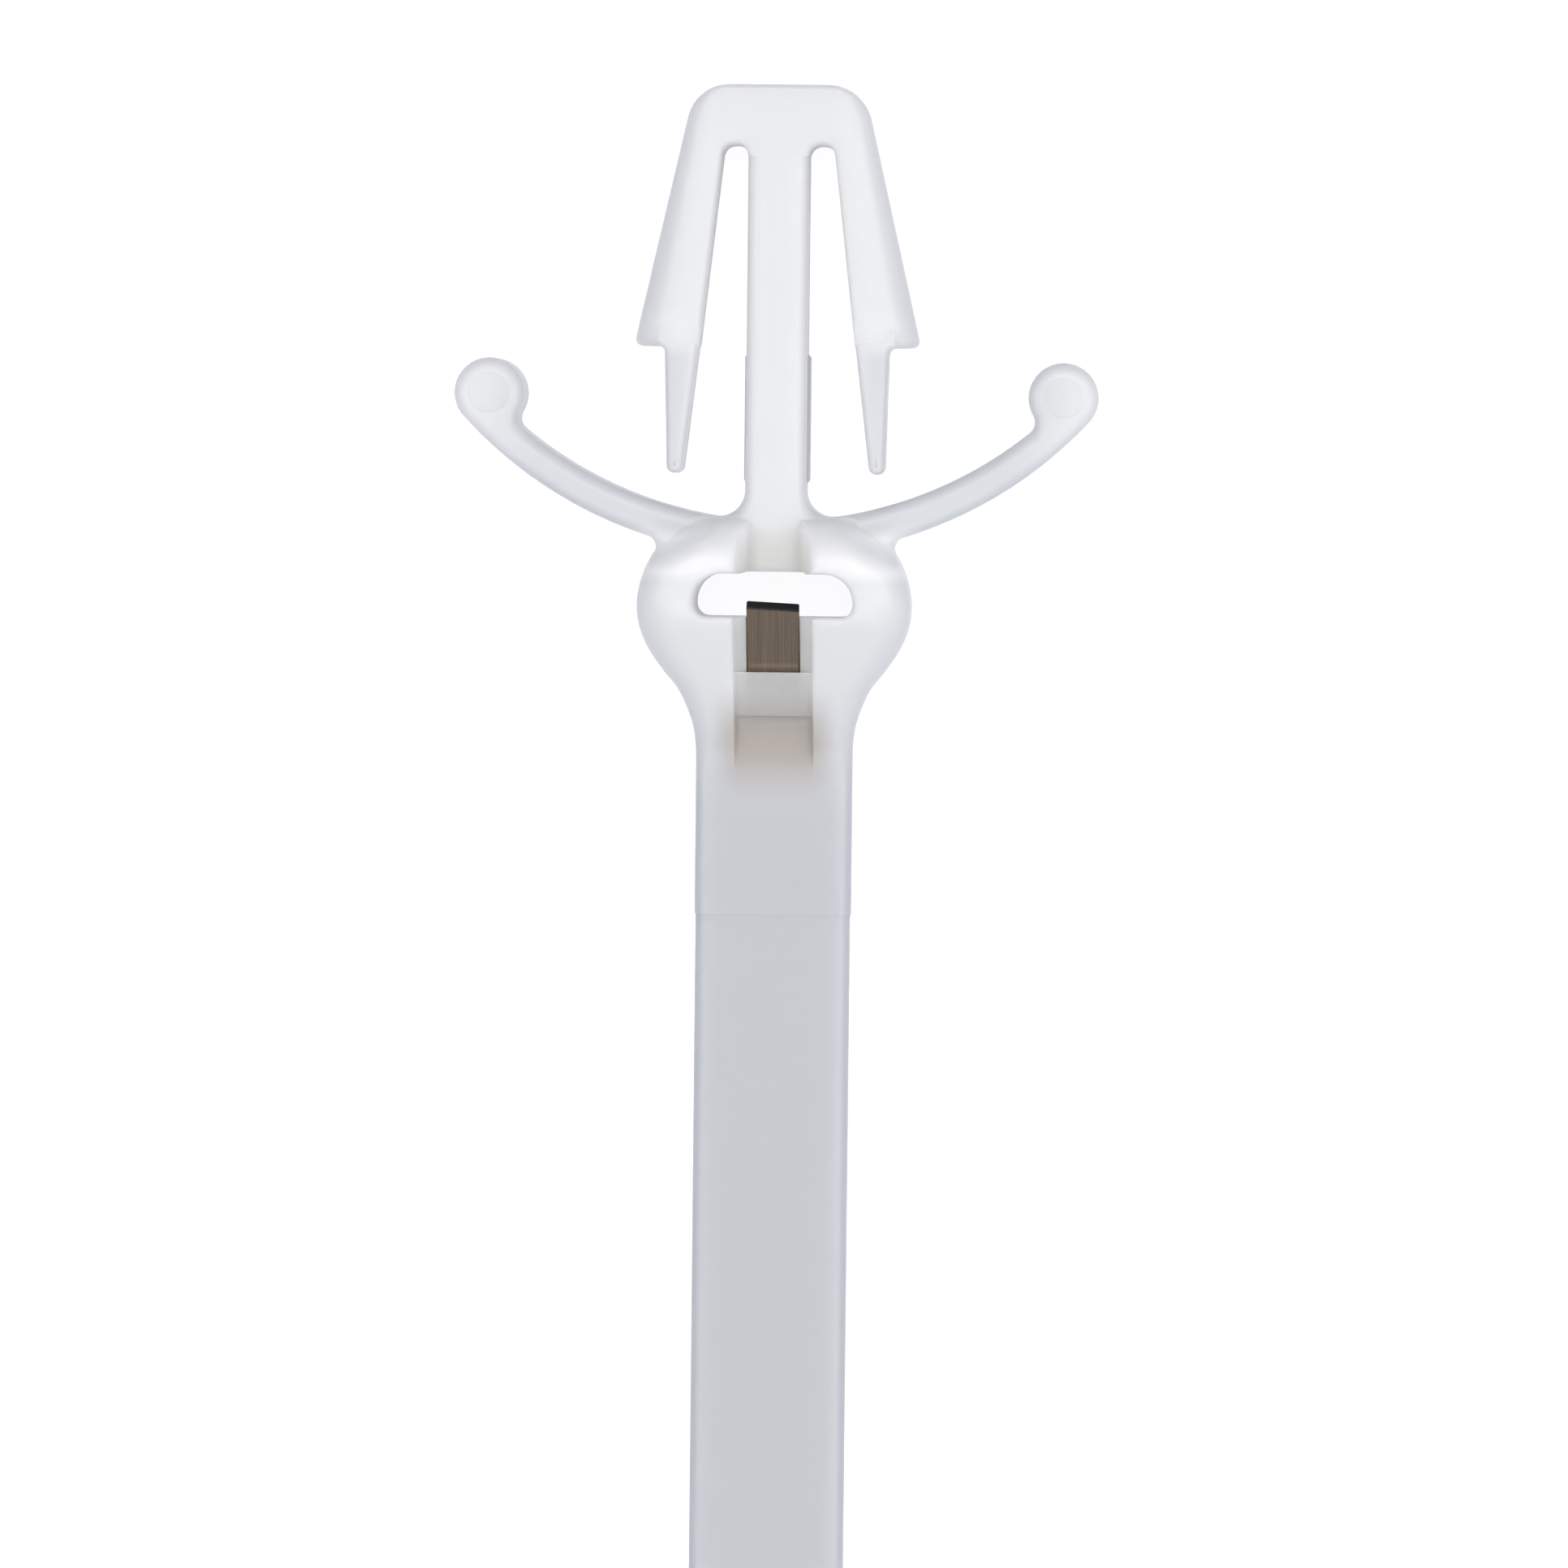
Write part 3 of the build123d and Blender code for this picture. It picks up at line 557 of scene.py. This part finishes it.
# Painted shade: the thin wings are greyed where light passes through them.
painted_wing_shade = times(times(step(x, 1.9, 3.2), step(x, 9.6, 7.0)), times(step(y, 1.5, 2.2), step(y, 7.7, 7.1)))
colour = tinted(colour, "#D5D7DA", painted_wing_shade)
# Painted shade: the valley and the pocket along the middle are darkened to a warm grey.
painted_recess_shade = times(step(x, 1.3, 0.9), times(step(y, 2.2, 1.0, 0.45), step(y, -4.5, -3.0)))
colour = tinted(colour, "#D8D4CC", painted_recess_shade)
# Painted shadow: the nylon round the barb and over its buried root is browned, as shade cast by the steel
# inside.
painted_root_shadow = times(step(x, 2.1, 0.9), times(step(y, -2.6, -4.3, 0.9), step(y, -6.6, -4.4)))
colour = tinted(colour, "#B3AAA2", painted_root_shadow)
shader = node(tree, "ShaderNodeBsdfPrincipled", None,
              {"Roughness": 0.3, "IOR": 1.53, "Specular IOR Level": 0.3, "Subsurface Weight": 1.0,
               "Subsurface Radius": (1.0, 1.0, 1.0), "Subsurface Scale": 1.2 * MM},
              Base_Color=colour)
node(tree, "ShaderNodeOutputMaterial", Surface=shader.outputs["BSDF"])
body.data.materials.clear()
body.data.materials.append(nylon)
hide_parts("tie_body")
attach(body, "root")


# Locking barb. A flat strip sheared from stainless steel, pressed into the head with its tip in the slot.
# Rolled steel: brown-grey with fine streaks along its length. Its sheared end is painted near black, as
# painted shade.
shear_angle, end_depth = 3.5, 0.04
grain_per_mm = (34, 0.35, 6)
steel = bpy.data.materials.new("rolled_stainless_steel")
steel.use_nodes = True
tree = steel.node_tree
tree.nodes.clear()
place = node(tree, "ShaderNodeTexCoord")
turned = node(tree, "ShaderNodeVectorRotate", {"rotation_type": "X_AXIS"}, {"Angle": -lean},
              Vector=place.outputs["Object"])
apart = node(tree, "ShaderNodeSeparateXYZ", Vector=turned.outputs["Vector"])
sheared = node(tree, "ShaderNodeMath", {"operation": "MULTIPLY_ADD"},
               {1: math.tan(math.radians(shear_angle))}, _0=apart.outputs["X"], _2=apart.outputs["Y"])
barb_end = (lip_y * math.cos(lean) + barb_z * math.sin(lean) + barb_exposed) * MM
# Painted shade: the last sliver of the strip's length, its sheared end, is made near black.
painted_end_shade = node(tree, "ShaderNodeMath", {"operation": "GREATER_THAN"}, {1: barb_end - end_depth * MM},
                _0=sheared.outputs["Value"])
stretched = node(tree, "ShaderNodeVectorMath", {"operation": "MULTIPLY"},
                 {1: [scale / MM for scale in grain_per_mm]}, _0=turned.outputs["Vector"])
grain = node(tree, "ShaderNodeTexNoise", None, {"Scale": 1.0, "Detail": 3.0, "Roughness": 0.6},
             Vector=stretched.outputs["Vector"])
streak = node(tree, "ShaderNodeMapRange", None, {"From Min": 0.3, "From Max": 0.7},
              Value=grain.outputs["Fac"])
rolled = node(tree, "ShaderNodeMix", {"data_type": "RGBA"}, {"A": linear("#74675A"), "B": linear("#8D7E6D")},
              Factor=streak.outputs["Result"])
colour = node(tree, "ShaderNodeMix", {"data_type": "RGBA"}, {"B": linear("#2C2A2B")},
              Factor=painted_end_shade.outputs["Value"], A=rolled.outputs["Result"])
shader = node(tree, "ShaderNodeBsdfPrincipled", None, {"Metallic": 1.0, "Roughness": 0.38},
              Base_Color=colour.outputs["Result"])
node(tree, "ShaderNodeOutputMaterial", Surface=shader.outputs["BSDF"])
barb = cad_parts["locking_barb"]
barb.data.materials.clear()
barb.data.materials.append(steel)


# Floor, light and camera. The tie lies on its back on a white board, lit softly from all round.
floor_half = 1.0
mesh = bpy.data.meshes.new("floor")
mesh.from_pydata([(-floor_half, -floor_half, 0), (floor_half, -floor_half, 0), (floor_half, floor_half, 0),
                  (-floor_half, floor_half, 0)], [], [(0, 1, 2, 3)])
floor = bpy.data.objects.new("floor", mesh)
bpy.context.scene.collection.objects.link(floor)
board = bpy.data.materials.new("white_board")
board.use_nodes = True
tree = board.node_tree
tree.nodes.clear()
seen = node(tree, "ShaderNodeLightPath")
mirrored_too = node(tree, "ShaderNodeMath", {"operation": "MAXIMUM"}, None, _0=seen.outputs["Is Camera Ray"],
                    _1=seen.outputs["Is Glossy Ray"])
through_too = node(tree, "ShaderNodeMath", {"operation": "MAXIMUM"}, None, _0=mirrored_too.outputs["Value"],
                   _1=seen.outputs["Is Transmission Ray"])
lifted = node(tree, "ShaderNodeMath", {"operation": "MULTIPLY"}, {1: 0.9}, _0=through_too.outputs["Value"])
matt = node(tree, "ShaderNodeBsdfDiffuse", None, {"Color": linear("#9D9FAD")})
lift = node(tree, "ShaderNodeEmission", None, {"Color": (1, 1, 1, 1)}, Strength=lifted.outputs["Value"])
both = node(tree, "ShaderNodeAddShader", None, None, _0=matt.outputs[0], _1=lift.outputs[0])
node(tree, "ShaderNodeOutputMaterial", Surface=both.outputs[0])
floor.data.materials.append(board)

world = bpy.data.worlds.new("studio")
bpy.context.scene.world = world
world.use_nodes = True
tree = world.node_tree
tree.nodes.clear()
place = node(tree, "ShaderNodeTexCoord")
apart = node(tree, "ShaderNodeSeparateXYZ", Vector=place.outputs["Generated"])
away = node(tree, "ShaderNodeVectorMath", {"operation": "DOT_PRODUCT"}, {1: (-0.15, 0.95, 0)},
            _0=place.outputs["Generated"])
shaded = node(tree, "ShaderNodeMapRange", {"interpolation_type": "SMOOTHSTEP"},
              {"From Min": -0.5, "From Max": 0.6}, Value=away.outputs["Value"])
lowered = node(tree, "ShaderNodeMath", {"operation": "MULTIPLY_ADD"}, {1: -0.15}, _0=shaded.outputs["Result"],
               _2=apart.outputs["Z"])
height = node(tree, "ShaderNodeMapRange", {"interpolation_type": "SMOOTHSTEP"},
              {"From Min": 0.2, "From Max": 0.5}, Value=lowered.outputs["Value"])
horizon = node(tree, "ShaderNodeMix", {"data_type": "RGBA"}, {"A": linear("#969AB3"), "B": linear("#2E3256")},
               Factor=shaded.outputs["Result"])
sky = node(tree, "ShaderNodeMix", {"data_type": "RGBA"}, {"B": linear("#DDDDDD")},
           Factor=height.outputs["Result"], A=horizon.outputs["Result"])
soft = node(tree, "ShaderNodeBackground", None, {"Strength": 1.0}, Color=sky.outputs["Result"])
node(tree, "ShaderNodeOutputWorld", Surface=soft.outputs[0])


def softbox(name, at, aim, size, power):
    """A square lamp that faces a point."""
    lamp = bpy.data.lights.new(name, "AREA")
    lamp.shape, lamp.size, lamp.energy = "SQUARE", size, power
    piece = bpy.data.objects.new(name, lamp)
    piece.location = at
    piece.rotation_euler = (Vector(aim) - Vector(at)).to_track_quat("-Z", "Y").to_euler()
    bpy.context.scene.collection.objects.link(piece)


softbox("right_softbox", (0.45, 0, 0.35), (0, 0, 0), 0.3, 0.65)
softbox("left_softbox", (-0.45, 0, 0.35), (0, 0, 0), 0.3, 0.4)
softbox("top_softbox", (0, 0.25, 0.52), (0, 0, 0), 0.3, 0.8)
softbox("low_softbox", (0, -0.4, 0.4), (0, 0, 0), 0.3, 0.4)

# The photograph: 47.7 mm of the tie fill the frame, seen almost square on, a little from its right.
view_w, view_x, view_y, view_z = 47.73 * MM, 0.375 * MM, -5.735 * MM, 3.0 * MM
view_far, view_right, view_up, view_roll = 0.3, 0.03, 0.033, 0.61
target = Vector((view_x, view_y, view_z))
lens = bpy.data.cameras.new("camera")
camera = bpy.data.objects.new("camera", lens)
bpy.context.scene.collection.objects.link(camera)
bpy.context.scene.camera = camera
toward = Vector((view_right, view_up, 1)).normalized()
camera.location = target + toward * view_far
up = Vector((0, 1, 0))
side = up.cross(toward).normalized()
up = toward.cross(side).normalized()
turned = Matrix.Rotation(math.radians(view_roll), 3, toward) @ Matrix((side, up, toward)).transposed()
camera.rotation_euler = turned.to_euler()
lens.sensor_width = 36
lens.lens = 36 * view_far / view_w
lens.clip_start, lens.clip_end = 0.01, 10
